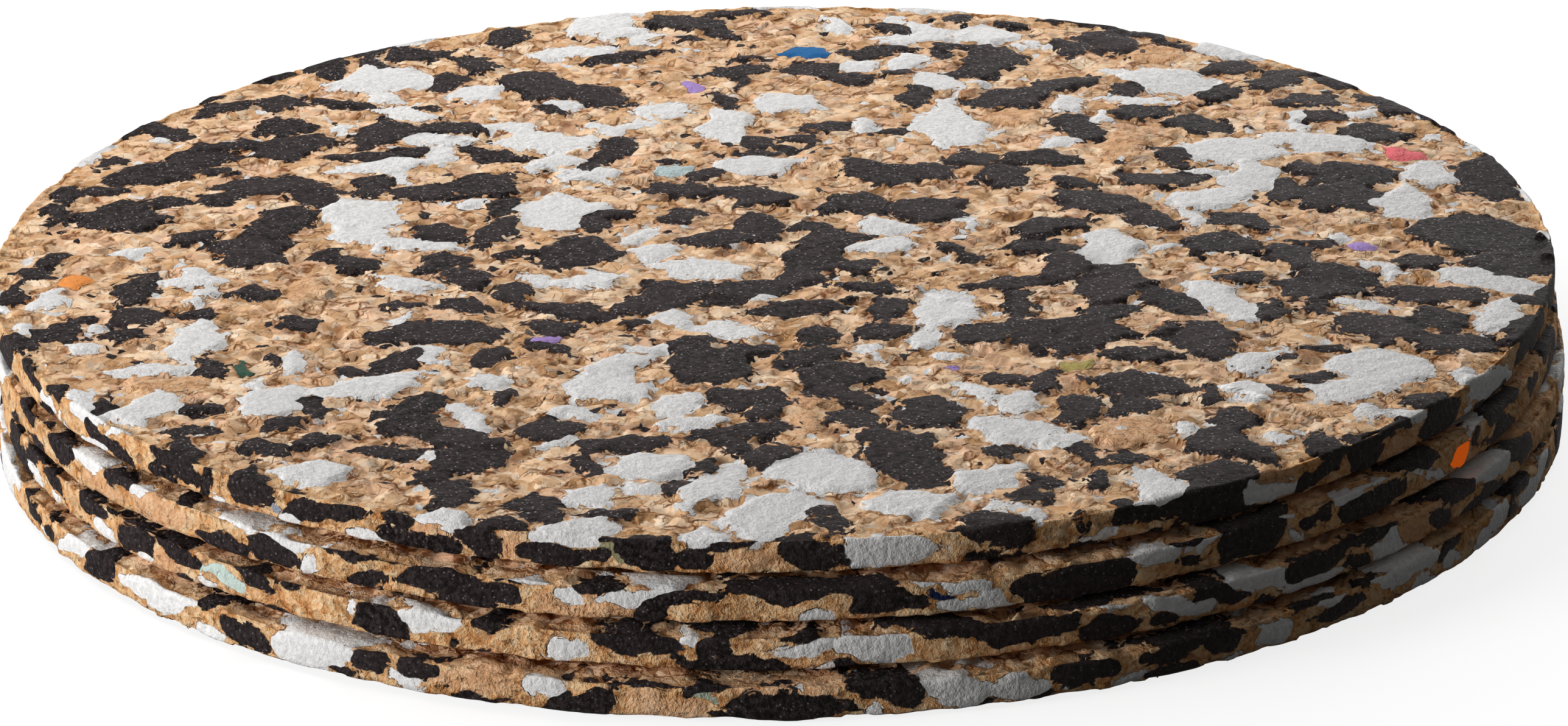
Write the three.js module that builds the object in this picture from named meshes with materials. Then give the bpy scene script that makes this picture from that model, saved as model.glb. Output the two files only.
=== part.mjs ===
// A set of round coasters lying loosely on one another. Millimetres, +Z up, the bottom coaster's
// underside centred on the origin. Each coaster is stamped out of one bonded sheet of cork and
// foam chips, so it is a single plain disc whose cut edges have gone a little soft.
import * as THREE from "three";

const DIAMETER = 100; // across the cut rim
const THICKNESS = 2.4; // of one coaster, measured over the high spots of its rough faces
const EDGE_RADIUS = 0.35; // the softened edge where the rim meets each face
const SEAT_GAP = 0.1; // two rough faces bear on a few high spots and stand this far apart
const RIM_FLATS = 96; // flats round the rim
const EDGE_FLATS = 3; // flats across one softened edge

// The coasters from the table up. Each centre is measured from the bottom coaster's centre:
// the stack leans a little towards the back, as it was set down by hand.
const STACK = [
  { name: "bottom_coaster", centreX: 0, centreY: 0 },
  { name: "lower_coaster", centreX: 0.15, centreY: 1.25 },
  { name: "upper_coaster", centreX: -0.25, centreY: 2.2 },
  { name: "top_coaster", centreX: -0.35, centreY: 3.5 },
];

const bondedCork = new THREE.MeshStandardMaterial({
  color: 0x8a705c,
  roughness: 0.9,
  metalness: 0,
});

// Half the outline of one coaster, from the middle of its underside out to the rim and back to
// the middle of its top: two flat faces, an upright rim, and a quarter round at each edge.
function halfOutline() {
  const rim = DIAMETER / 2;
  const outline = [new THREE.Vector2(0, 0)];
  const quarterRound = (centreHeight, startAngle) => {
    for (let flat = 0; flat <= EDGE_FLATS; flat += 1) {
      const angle = startAngle + (Math.PI / 2) * (flat / EDGE_FLATS);
      outline.push(
        new THREE.Vector2(
          rim - EDGE_RADIUS + EDGE_RADIUS * Math.cos(angle),
          centreHeight + EDGE_RADIUS * Math.sin(angle),
        ),
      );
    }
  };
  quarterRound(EDGE_RADIUS, -Math.PI / 2);
  quarterRound(THICKNESS - EDGE_RADIUS, 0);
  outline.push(new THREE.Vector2(0, THICKNESS));
  return outline;
}

// One coaster: the half outline turned about its upright axis, with its underside at height zero.
function coasterDisc() {
  return new THREE.LatheGeometry(halfOutline(), RIM_FLATS).rotateX(Math.PI / 2);
}

const coasterSet = new THREE.Group();
STACK.forEach(({ name, centreX, centreY }, level) => {
  const coaster = new THREE.Mesh(coasterDisc(), bondedCork);
  coaster.name = name;
  coaster.position.set(centreX, centreY, level * (THICKNESS + SEAT_GAP));
  coasterSet.add(coaster);
});

export default coasterSet;
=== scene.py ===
"""Looks for a loose stack of round coasters stamped from bonded cork and foam chips.

Lengths in the coaster functions are millimetres from the coaster's own centre, with its underside at
height zero. They become metres where the mesh is made.
"""

import bpy
import numpy as np
from mathutils import Matrix, Vector


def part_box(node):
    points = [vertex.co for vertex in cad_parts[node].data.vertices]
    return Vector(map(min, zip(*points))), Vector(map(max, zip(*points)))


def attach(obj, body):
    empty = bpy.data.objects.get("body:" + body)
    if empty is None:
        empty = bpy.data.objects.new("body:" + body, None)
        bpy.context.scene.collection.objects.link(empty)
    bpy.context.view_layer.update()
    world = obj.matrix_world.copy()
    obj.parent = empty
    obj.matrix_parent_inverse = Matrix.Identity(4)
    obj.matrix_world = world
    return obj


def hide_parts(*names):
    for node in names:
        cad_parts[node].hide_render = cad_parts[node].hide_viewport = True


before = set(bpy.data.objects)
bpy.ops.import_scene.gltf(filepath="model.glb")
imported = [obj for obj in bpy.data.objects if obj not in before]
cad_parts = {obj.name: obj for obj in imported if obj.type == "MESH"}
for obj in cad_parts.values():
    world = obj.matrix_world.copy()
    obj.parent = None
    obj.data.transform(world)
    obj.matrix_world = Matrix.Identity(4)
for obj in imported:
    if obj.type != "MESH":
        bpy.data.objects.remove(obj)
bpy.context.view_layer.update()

# The sheet that all the coasters are stamped from.
# Cork granules and offcuts of black and white foam are pressed with a binder into a block, and the
# block is sliced, so every face cuts straight through granules and chips alike.
RADIUS = 50.0
THICKNESS = 2.4
EDGE_RADIUS = 0.35
MM = 0.001
# The kinds of chip. A tan one is a smooth chunk of cork, a fleck is foam of some other colour.
KINDS = 4
BLACK, WHITE, FLECK, TAN = range(KINDS)


def ripple(points, wavelength, seed, waves=14):
    """A smooth random height, mostly from -1 to 1: sine waves that cross the points in random directions,
    added up and divided by the root of their number. Their lengths are near the given one."""
    shortest, longest = 0.7, 1.4
    rng = np.random.default_rng(seed)
    way = rng.normal(size=(waves, 3))
    way /= np.linalg.norm(way, axis=1, keepdims=True)
    pitch = wavelength * rng.uniform(shortest, longest, waves)
    start = rng.uniform(0, 2 * np.pi, waves)
    total = np.zeros(len(points))
    for k in range(waves):
        total += np.sin(points @ way[k] * (2 * np.pi / pitch[k]) + start[k])
    return total / np.sqrt(waves)


def wander(points, wavelength, reach, seed):
    """How far each point strays, by one ripple for each direction."""
    return reach * np.column_stack([ripple(points, wavelength, seed + k, waves=8) for k in range(3)])


def granules(points, pitch, seed):
    """Distance from each point to the nearest granule centre, in pitches, and how low that granule's flat
    top lies there, in millimetres: a random depth and a random slope. The centres are one random point
    in every cell of a cubic lattice."""
    period = 48
    deepest, steepest = 0.16, 0.60
    far_off = 9.0
    draw = np.random.default_rng(seed).uniform(0, 1, (period, period, period, 7))
    scaled = points / pitch
    cell = np.floor(scaled).astype(int)
    nearest = np.full(len(points), far_off)
    low = np.zeros(len(points))
    for step in np.ndindex(3, 3, 3):
        near_cell = cell + np.array(step) - 1
        slot = near_cell % period
        drawn = draw[slot[:, 0], slot[:, 1], slot[:, 2]]
        inside = scaled - near_cell - drawn[:, :3]
        distance = np.linalg.norm(inside, axis=1)
        closer = distance < nearest
        nearest[closer] = distance[closer]
        slope = (inside * (drawn[:, 4:] - 0.5)).sum(1)
        low[closer] = (deepest * drawn[:, 3] + steepest * slope)[closer]
    return nearest, low


def face_chips(rows, kind, side, rng):
    """Chips that show on a flat face: rows of x, y, length, width and turn in degrees, on the top for
    side 1 and the underside for side -1. Each reaches a random depth into the sheet, less by the rim."""
    depth = (0.9, 1.9)
    rim_band, rim_share = 5, 0.4
    x, y, length, width, turn = np.array(rows, float).reshape(-1, 5).T
    count = len(x)
    turn = np.radians(turn)
    level = np.full(count, THICKNESS if side > 0 else 0.0)
    along = np.column_stack([np.cos(turn), np.sin(turn), np.zeros(count)])
    across = np.column_stack([-np.sin(turn), np.cos(turn), np.zeros(count)])
    out = np.tile([0.0, 0.0, float(side)], (count, 1))
    by_rim = np.hypot(x, y) > RADIUS - rim_band
    return {
        "centre": np.column_stack([x, y, level]),
        "axes": np.stack([along, across, out], 1),
        "half": np.column_stack([length, width]) / 2,
        "deep": rng.uniform(*depth, count) * np.where(by_rim, rim_share, 1),
        "kind": np.full(count, kind),
    }


def rim_chips(rows, kind, rng, reach):
    """Chips that show on the cut rim: rows of bearing in degrees, height, length along the rim, height of
    the chip and tilt in degrees, rising anticlockwise. How far they go inwards is drawn between the two
    numbers of reach."""
    bearing, level, length, tall, tilt = np.array(rows, float).reshape(-1, 5).T
    count = len(bearing)
    bearing, tilt = np.radians(bearing), np.radians(tilt)
    nought = np.zeros(count)
    out = np.column_stack([np.cos(bearing), np.sin(bearing), nought])
    round_rim = np.column_stack([-np.sin(bearing), np.cos(bearing), nought])
    up = np.tile([0.0, 0.0, 1.0], (count, 1))
    lean, rise = np.cos(tilt)[:, None], np.sin(tilt)[:, None]
    return {
        "centre": RADIUS * out + level[:, None] * up,
        "axes": np.stack([round_rim * lean + up * rise, up * lean - round_rim * rise, out], 1),
        "half": np.column_stack([length, tall]) / 2,
        "deep": rng.uniform(*reach, count),
        "kind": np.full(count, kind),
    }


def thrown(rng, share, spot, longest, squat, area):
    """Rows thrown at random, longest first, until each kind covers its share of an area. A row is kept
    where it does not lie too far over one that is already there. The spot function draws a place: its
    x and y, for measuring, and a row's two numbers for the place and one for the turn. Squat is the
    least and the most width for each length."""
    typical, spread, shortest, throws = 3.3, 0.45, 0.9, 1600
    tries, spacing, fill = 8, 0.84, 0.75
    taken = []
    rows = {kind: [] for kind in share}
    covered = dict.fromkeys(share, 0.0)
    kinds = list(share)
    odds = np.array([share[kind] for kind in kinds])
    lengths = np.clip(rng.lognormal(np.log(typical), spread, throws), shortest, longest)
    for length in np.sort(lengths)[::-1]:
        width = length * rng.uniform(*squat)
        reach = 0.5 * np.sqrt(length * width)
        kind = kinds[rng.choice(len(kinds), p=odds / odds.sum())]
        if covered[kind] > share[kind] * area:
            continue
        for _ in range(tries):
            x, y, first, second, turn = spot()
            if taken:
                placed = np.array(taken)
                room = np.hypot(placed[:, 0] - x, placed[:, 1] - y) - spacing * (placed[:, 2] + reach)
                if room.min() < 0:
                    continue
            taken.append((x, y, reach))
            rows[kind].append((first, second, length, width, turn))
            covered[kind] += fill * length * width
            break
    return rows


def scattered_face(rng):
    """Random rows for a flat face, with the shares of black, white and tan that the photograph shows. The
    ledge along the front is left to the chips of the rim, which reach in over it."""
    share = {BLACK: 0.36, WHITE: 0.21, TAN: 0.05}
    longest, squat = 8.0, (0.4, 0.85)
    margin, ledge = 1.0, 4.0
    front = -0.25 * RADIUS

    def spot():
        away = (RADIUS - margin) * np.sqrt(rng.random())
        bearing = rng.uniform(0, 2 * np.pi)
        x, y = away * np.cos(bearing), away * np.sin(bearing)
        return x, y, x, y, rng.uniform(0, 180)

    def kept(x, y, *sizes):
        return np.hypot(x, y) < RADIUS - ledge or y > front

    rows = thrown(rng, share, spot, longest, squat, np.pi * RADIUS**2)
    return {kind: [row for row in rows[kind] if kept(*row)] for kind in rows}


def scattered_rim(rng):
    """Random rows for the stretch of rim that faces away from the camera, flattened by the pressing."""
    share = {BLACK: 0.40, WHITE: 0.24, TAN: 0.08}
    longest, squat = 6.5, (0.25, 0.5)
    start, end = 344.0, 560.0
    margin, tilting = 0.1, 14

    def spot():
        bearing = rng.uniform(start, end)
        level = rng.uniform(margin, THICKNESS - margin)
        return np.radians(bearing) * RADIUS, level, bearing, level, rng.normal(0, tilting)

    return thrown(rng, share, spot, longest, squat, np.radians(end - start) * RADIUS * THICKNESS)


def chip_distances(points, chips, rng):
    """For each kind of chip: the distance from each point to the outline of the nearest one, negative
    inside it, and that chip's number. A chip is a rough prism: five to seven slanted sides at random
    distances from its middle, rounded where they meet, and a flat inner end."""
    fewest_sides, most_sides, uneven, most_turn = 5, 7, 0.3, 6
    closest, furthest, slanting = 0.76, 1.06, 0.5
    far_off, sharpness, cap = 2.0, 10.0, 6
    nearest = np.full((KINDS, len(points)), far_off)
    owner = np.zeros((KINDS, len(points)), int)
    order = np.argsort(points[:, 0])
    sorted_x = points[order, 0]
    for number, kind in enumerate(chips["kind"]):
        centre, half, deep = chips["centre"][number], chips["half"][number], chips["deep"][number]
        sides = rng.integers(fewest_sides, most_sides + 1)
        bearing = (np.arange(sides) + rng.uniform(-uneven, uneven, sides)) * 2 * np.pi / sides
        bearing += rng.uniform(0, most_turn)
        stand_off = rng.uniform(closest, furthest, sides)
        slant = rng.normal(0, slanting, sides)
        reach = max(half[0], deep) + far_off
        first, last = np.searchsorted(sorted_x, [centre[0] - reach, centre[0] + reach])
        near = order[first:last]
        near = near[np.abs(points[near, 1] - centre[1]) < reach]
        if not len(near):
            continue
        along, across, out = ((points[near] - centre) @ chips["axes"][number].T).T
        steep = np.hypot(np.cos(bearing) / half[0], np.sin(bearing) / half[1])
        side = np.outer(along / half[0], np.cos(bearing)) + np.outer(across / half[1], np.sin(bearing))
        side = (side - stand_off) / steep + np.outer(out, slant)
        inside = np.log(np.exp(sharpness * np.clip(side, -cap, cap)).sum(1)) / sharpness
        inside = np.maximum(inside, -out - deep)
        closer = inside < nearest[kind, near]
        nearest[kind, near[closer]] = inside[closer]
        owner[kind, near[closer]] = number
    return nearest, owner


def disc_grid(cells):
    """A square grid squeezed onto the unit disc so that its square rings become circles: the points, the
    grid of their numbers, and the numbers round the outside, anticlockwise from the front right."""
    side = np.linspace(-1, 1, cells + 1)
    a, b = np.meshgrid(side, side)
    wide = np.abs(a) >= np.abs(b)
    ring = np.where(wide, a, b)
    ratio = np.where(wide, b, a) / np.where(ring == 0, 1, ring)
    angle = np.where(wide, np.pi / 4 * ratio, np.pi / 2 - np.pi / 4 * ratio)
    spots = np.stack([ring * np.cos(angle), ring * np.sin(angle)], -1).reshape(-1, 2)
    number = np.arange((cells + 1) ** 2).reshape(cells + 1, cells + 1)
    outside = np.concatenate([number[:-1, -1], number[-1, :0:-1], number[:0:-1, 0], number[0, :-1]])
    return spots, number, outside


def grid_faces(number):
    """Two triangles for each cell of a grid of point numbers."""
    a, b, c, d = number[:-1, :-1], number[:-1, 1:], number[1:, 1:], number[1:, :-1]
    halves = [np.stack([a, b, c], -1), np.stack([a, c, d], -1)]
    return np.concatenate([half.reshape(-1, 3) for half in halves])


def blank_coaster():
    """A smooth coaster before its relief: points, outward directions, how far each point is part of the
    cut rim, and triangles. The top is a fine grid, rings step down the rim, and the underside is a grid
    of half the fineness joined on by triangles."""
    fine, coarse, rim_rings = 250, 125, 6
    underside_inset = 0.4
    top, top_number, top_loop = disc_grid(fine)
    under, under_number, under_loop = disc_grid(coarse)
    flat = RADIUS - EDGE_RADIUS
    points = [np.column_stack([top * flat, np.full(len(top), THICKNESS)])]
    normals = [np.tile([0.0, 0.0, 1.0], (len(top), 1))]
    cut = [np.zeros(len(top))]
    steps = 4 * fine
    bearing = -np.pi / 4 + np.arange(steps) * 2 * np.pi / steps
    lift = np.radians([60, 30, 0] + [0] * rim_rings + [-30, -60, -90])
    upper, lower = THICKNESS - EDGE_RADIUS, EDGE_RADIUS
    height = [upper] * 3 + list(np.linspace(upper, lower, rim_rings + 1)[1:]) + [lower] * 3
    rows = [top_loop]
    start = len(top)
    for tilt, level in zip(lift, height):
        out = np.column_stack([np.cos(bearing) * np.cos(tilt), np.sin(bearing) * np.cos(tilt),
                               np.full(steps, np.sin(tilt))])
        middle = np.column_stack([np.cos(bearing) * flat, np.sin(bearing) * flat, np.full(steps, level)])
        points.append(middle + EDGE_RADIUS * out)
        normals.append(out)
        cut.append(np.full(steps, np.cos(tilt) ** 2))
        rows.append(start + np.arange(steps))
        start += steps
    points.append(np.column_stack([under * (flat - underside_inset), np.zeros(len(under))]))
    normals.append(np.tile([0.0, 0.0, -1.0], (len(under), 1)))
    cut.append(np.zeros(len(under)))
    under_number, under_loop = under_number + start, under_loop + start

    faces = [grid_faces(top_number), grid_faces(under_number)[:, ::-1]]
    for above, below in zip(rows[:-1], rows[1:]):
        above_next, below_next = np.roll(above, -1), np.roll(below, -1)
        faces.append(np.column_stack([below, below_next, above_next]))
        faces.append(np.column_stack([below, above_next, above]))
    early, mid = rows[-1][0::2], rows[-1][1::2]
    late, under_next = np.roll(early, -1), np.roll(under_loop, -1)
    faces.append(np.column_stack([under_loop, under_next, mid]))
    faces.append(np.column_stack([under_loop, mid, early]))
    faces.append(np.column_stack([under_next, late, mid]))
    return np.concatenate(points), np.concatenate(normals), np.concatenate(cut), np.concatenate(faces)


def gathered_chips(rim, flecks, face, rng):
    """All the chips of a coaster, the coloured flecks last, and how many come before those. The faces and
    the rear of the rim have thrown chips; the front of the rim, and the top face where it shows, have the
    given ones. Where the coaster above leaves a ledge bare, the chips of the rim reach in over it."""
    shallow, far_in = (0.5, 1.1), (1.4, 3.6)
    reach = shallow if face else far_in
    groups = []
    for side, rows in ((1, face or scattered_face(rng)), (-1, scattered_face(rng))):
        groups += [face_chips(rows[kind], kind, side, rng) for kind in rows]
    groups += [rim_chips(rows, kind, rng, shallow) for kind, rows in scattered_rim(rng).items()]
    groups += [rim_chips(rows, kind, rng, reach) for kind, rows in rim.items()]
    ordinary = sum(len(group["kind"]) for group in groups)
    for part, row, tint in flecks:
        if part == "face":
            groups.append(face_chips([row], FLECK, 1, rng))
        else:
            groups.append(rim_chips([row], FLECK, rng, reach))
    return {key: np.concatenate([group[key] for group in groups]) for key in groups[0]}, ordinary


def relief(points, cut, edge, who, chips, seeds, rng):
    """How far each point sinks in from the smooth blank, and how far it lies from its granule's middle. A
    chip has its own level and slope and rounds off at its outline. Cork sinks as its granules do, most
    where they part. A groove runs where chips and cork meet. The cut rim is flatter, and the corners
    have crumbled, more so where they are cork."""
    chip_level, chip_slope, chip_ripple, chip_wave = (0.03, 0.15), 0.03, 0.015, 1.3
    rounding, rounding_width = 0.06, 0.25
    granule, granule_stray, stray_wave = 1.8, 0.25, 1.6
    cork_level, parting, cork_ripple, cork_wave = 0.15, 0.12, 0.04, 4.5
    meeting_width, groove, groove_width = 0.3, 0.05, 0.22
    rim_flattening = 0.65
    corner_width, corner_height, underside_share = 0.7, 0.5, 0.5
    worn, chip_crumbling, cork_crumbling = 0.05, 0.05, 0.16
    crumb_wave, fine_wave, fine_crumbling = 2.8, 1.4, 0.3

    count = len(chips["kind"])
    level = rng.uniform(*chip_level, count)
    lean = rng.normal(0, chip_slope, (count, 3))
    chip_sink = level[who] + ((points - chips["centre"][who]) * lean[who]).sum(1)
    chip_sink += rounding * np.exp(np.minimum(edge, 0) / rounding_width)
    chip_sink += chip_ripple * ripple(points, chip_wave, seeds[2])

    strayed = points + wander(points, stray_wave, granule_stray, seeds[3])
    lump, low = granules(strayed, granule, seeds[4])
    cork_sink = cork_level + low + parting * np.clip(lump, 0, 1) ** 2
    cork_sink += cork_ripple * ripple(points, cork_wave, seeds[5])

    is_cork = np.clip(edge / meeting_width + 0.5, 0, 1)
    sink = chip_sink * (1 - is_cork) + cork_sink * is_cork
    sink += groove * np.exp(-((edge / groove_width) ** 2))
    sink *= 1 - rim_flattening * cut

    away = np.hypot(points[:, 0], points[:, 1])
    from_face = np.minimum(points[:, 2], THICKNESS - points[:, 2])
    corner = np.exp(-(((away - RADIUS) / corner_width) ** 2)) * np.exp(-((from_face / corner_height) ** 2))
    corner *= np.where(points[:, 2] > THICKNESS / 2, 1, underside_share)
    crumble = ripple(points, crumb_wave, seeds[6]) + fine_crumbling * ripple(points, fine_wave, seeds[7])
    crumble = np.clip(crumble, 0, None) * (chip_crumbling + cork_crumbling * is_cork)
    sink += corner * (worn + crumble)
    return np.maximum(sink, 0), lump


def placed_mesh(name, shaped, faces):
    """A coaster's points and triangles as a smooth mesh, in metres, where the frame has that coaster."""
    least, most = (np.array(end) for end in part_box(name))
    place = (least + most) / 2 / MM
    place[2] = least[2] / MM
    mesh = bpy.data.meshes.new(name + "_looks")
    mesh.vertices.add(len(shaped))
    mesh.vertices.foreach_set("co", ((shaped + place) * MM).astype(np.float32).ravel())
    mesh.loops.add(faces.size)
    mesh.loops.foreach_set("vertex_index", faces.astype(np.int32).ravel())
    mesh.polygons.add(len(faces))
    mesh.polygons.foreach_set("loop_start", np.arange(0, faces.size, 3, dtype=np.int32))
    mesh.polygons.foreach_set("use_smooth", np.ones(len(faces), bool))
    mesh.update(calc_edges=True)
    return mesh


def coaster(name, seed, rim, flecks, face=None):
    """A coaster as one closed mesh, the blank with its relief, whose points store what the material paints
    from: distances to the outlines of the chips, which wander a little, random tones, and how far a point
    belongs to the cut rim, or to the band of the top faces beside it that is painted like the rim as
    painted shade. Rim, flecks and face hold the rows of the chips that the photograph shows."""
    coarse_stray, coarse_wave, fine_stray, fine_wave, upright_share = 0.30, 3.4, 0.13, 1.3, 0.5
    black_growth, black_loss_on_rim, white_growth = 0.11, 0.05, 0.05
    rim_band = 2.2
    rng = np.random.default_rng(seed)
    seeds = rng.integers(0, 1 << 30, 12)
    chips, ordinary = gathered_chips(rim, flecks, face, rng)
    points, normals, cut, faces = blank_coaster()
    drift = wander(points, coarse_wave, coarse_stray, seeds[0])
    drift += wander(points, fine_wave, fine_stray, seeds[1])
    nearest, owner = chip_distances(points + drift * (1, 1, upright_share), chips, rng)
    nearest[BLACK] -= black_growth - black_loss_on_rim * cut
    nearest[WHITE] -= white_growth
    kind = nearest.argmin(0)
    everyone = np.arange(len(points))
    edge, who = nearest[kind, everyone], owner[kind, everyone]
    sink, lump = relief(points, cut, edge, who, chips, seeds, rng)
    # Painted shade: the band of the top faces beside the rim is painted like the cut rim, for the ledges
    # under the coaster above.
    inwards = RADIUS - np.hypot(points[:, 0], points[:, 1])
    facing_up = normals[:, 2] > 0.5
    near_rim_shade = np.where(facing_up, np.clip(1 - inwards / rim_band, 0, 1), 0)
    mesh = placed_mesh(name, points - normals * sink[:, None], faces)

    chip_tone = rng.uniform(0, 1, len(chips["kind"]))
    values = {
        "black_edge": nearest[BLACK],
        "white_edge": nearest[WHITE],
        "fleck_edge": nearest[FLECK],
        "tan_edge": nearest[TAN],
        "black_tone": chip_tone[owner[BLACK]],
        "white_tone": chip_tone[owner[WHITE]],
        "lump": lump,
        "cut": np.maximum(cut, near_rim_shade),
    }
    for label, numbers in values.items():
        layer = mesh.attributes.new(label, "FLOAT", "POINT")
        layer.data.foreach_set("value", numbers.astype(np.float32))
    # A fleck as orange as this has a painted glow, bright in shade; its alpha is that glow's strength.
    glow_redness, painted_glow_level = 0.9, 0.3
    tints = np.array([tint for part, row, tint in flecks])
    paint = np.ones((len(points), 4), np.float32)
    paint[:, :3] = tints[np.clip(owner[FLECK] - ordinary, 0, len(tints) - 1)]
    paint[:, 3] = np.where(paint[:, 0] - paint[:, 2] > glow_redness, painted_glow_level, 0.0)
    layer = mesh.attributes.new("fleck_tint_and_glow", "FLOAT_COLOR", "POINT")
    layer.data.foreach_set("color", paint.ravel())
    piece = bpy.data.objects.new(name + "_looks", mesh)
    bpy.context.scene.collection.objects.link(piece)
    piece.data.materials.append(bonded_cork)
    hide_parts(name)
    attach(piece, name)


# What the cut sheet looks like: matt cork in golden flakes with painted shade in its crevices and some
# smooth pinkish chunks, charcoal foam dusted with pale specks, and warm white foam with fine pores.
# Outlines come from the distances stored on the mesh, in millimetres, and are torn here flake by flake.
bonded_cork = bpy.data.materials.new("bonded_cork_and_foam")
bonded_cork.use_nodes = True
tree = bonded_cork.node_tree
tree.nodes.clear()


def put(kind, inputs=None, **settings):
    """A shader node with its settings and its inputs: a value, or the socket that feeds it."""
    made = tree.nodes.new(kind)
    for key, value in settings.items():
        setattr(made, key, value)
    for key, value in (inputs or {}).items():
        if isinstance(value, bpy.types.NodeSocket):
            tree.links.new(value, made.inputs[key])
        else:
            made.inputs[key].default_value = value
    return made


def stored(label, output="Fac"):
    """What the mesh stores on its points under that label."""
    return put("ShaderNodeAttribute", attribute_name=label).outputs[output]


def maths(operation, first, second=0.0, third=0.0):
    """A sum on one to three numbers or sockets."""
    return put("ShaderNodeMath", {0: first, 1: second, 2: third}, operation=operation).outputs[0]


def ranged(value, low, high, to_low, to_high):
    """A smooth step: to_low where the value is low or less, to_high where it is high or more."""
    inputs = {"Value": value, "From Min": low, "From Max": high, "To Min": to_low, "To Max": to_high}
    return put("ShaderNodeMapRange", inputs, interpolation_type="SMOOTHSTEP").outputs["Result"]


def mixed(factor, first, second):
    """The first colour where the factor is 0, the second where it is 1."""
    return put("ShaderNodeMix", {0: factor, 6: first, 7: second}, data_type="RGBA").outputs[2]


def between(factor, first, second):
    """The first number where the factor is 0, the second where it is 1."""
    return put("ShaderNodeMix", {0: factor, 2: first, 3: second}).outputs[0]


def noise(scale, detail, roughness):
    """Cloudy noise from 0 to 1, with that many clouds to the metre."""
    inputs = {"Vector": where, "Scale": scale, "Detail": detail, "Roughness": roughness}
    return put("ShaderNodeTexNoise", inputs).outputs["Fac"]


def colour_steps(value, *steps):
    """A colour that runs through the steps, each a value and the colour there."""
    made = put("ShaderNodeValToRGB", {"Fac": value})
    ramp = made.color_ramp
    while len(ramp.elements) < len(steps):
        ramp.elements.new(0.5)
    for element, (position, colour) in zip(ramp.elements, steps):
        element.position = position
        element.color = colour
    return made.outputs["Color"]


where = put("ShaderNodeTexCoord").outputs["Object"]
stray = put("ShaderNodeTexNoise", {"Vector": where, "Scale": 950.0, "Detail": 2.5, "Roughness": 0.55})
stray = put("ShaderNodeVectorMath", {0: stray.outputs["Color"], 1: (0.5, 0.5, 0.5)}, operation="SUBTRACT")
stray = {0: stray.outputs[0], 1: (0.0009, 0.0009, 0.0009), 2: where}
crumpled = put("ShaderNodeVectorMath", stray, operation="MULTIPLY_ADD").outputs[0]
cut, lump = stored("cut"), stored("lump")


def flakes(scale):
    """Cork flakes as the cells that the surface cuts through: each cell's random red, green and blue, how
    far its top leans up or down in metres, and the distance to its outline in cells."""
    cell = put("ShaderNodeTexVoronoi", {"Vector": crumpled, "Scale": scale})
    drawn = cell.outputs["Color"]
    inside = put("ShaderNodeVectorMath", {0: crumpled, 1: cell.outputs["Position"]}, operation="SUBTRACT")
    slope = put("ShaderNodeVectorMath", {0: drawn, 1: (0.5, 0.5, 0.5)}, operation="SUBTRACT")
    along_slope = {0: inside.outputs[0], 1: slope.outputs[0]}
    lean = put("ShaderNodeVectorMath", along_slope, operation="DOT_PRODUCT")
    seam = put("ShaderNodeTexVoronoi", {"Vector": crumpled, "Scale": scale}, feature="DISTANCE_TO_EDGE")
    split = put("ShaderNodeSeparateColor", {"Color": drawn})
    return split.outputs, lean.outputs["Value"], seam.outputs["Distance"]


flake, flake_lean, flake_seam = flakes(640.0)
shred, shred_lean, shred_seam = flakes(1700.0)

# Where chips end. Each flake and shred of cork pushes the outline in or out, less on the cut rim, and a
# few shreds on the faces are loose crumbs of foam.
fringe = maths("MULTIPLY", maths("SUBTRACT", noise(1700.0, 3.0, 0.6), 0.5), 0.45)
torn = maths("MULTIPLY_ADD", maths("SUBTRACT", shred["Green"], 0.5), 0.45, fringe)
torn = maths("MULTIPLY_ADD", maths("SUBTRACT", flake["Green"], 0.5), 0.55, torn)
torn = maths("MULTIPLY", torn, ranged(cut, 0.0, 1.0, 1.0, 0.45))
ragged = maths("MULTIPLY_ADD", cut, -0.06, torn)
black_edge, white_edge, fleck_edge = stored("black_edge"), stored("white_edge"), stored("fleck_edge")
foam_edge = maths("MINIMUM", black_edge, white_edge)
torn_fleck = maths("MULTIPLY_ADD", fringe, 0.6, fleck_edge)
torn_edge = maths("MINIMUM", maths("ADD", foam_edge, ragged), torn_fleck)
is_whole = ranged(torn_edge, -0.04, 0.04, 1.0, 0.0)
meeting = maths("ADD", maths("SUBTRACT", white_edge, black_edge), fringe)
is_white = ranged(meeting, -0.05, 0.05, 1.0, 0.0)
is_fleck = ranged(maths("SUBTRACT", fleck_edge, foam_edge), -0.05, 0.05, 1.0, 0.0)
is_tan = ranged(maths("ADD", stored("tan_edge"), ragged), -0.12, 0.12, 1.0, 0.0)
smooth_cork = maths("MAXIMUM", maths("MULTIPLY", is_tan, 0.7), maths("MULTIPLY", cut, 0.85))
on_face = ranged(cut, 0.0, 0.5, 1.0, 0.0)
black_crumb = maths("MULTIPLY", ranged(shred["Red"], 0.975, 0.985, 0.0, 1.0), on_face)
white_crumb = maths("MULTIPLY", ranged(shred["Red"], 0.015, 0.025, 1.0, 0.0), on_face)
is_white = between(is_whole, white_crumb, is_white)
is_fleck = maths("MULTIPLY", is_fleck, is_whole)
is_chip = maths("MAXIMUM", is_whole, maths("MAXIMUM", black_crumb, white_crumb))
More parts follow.
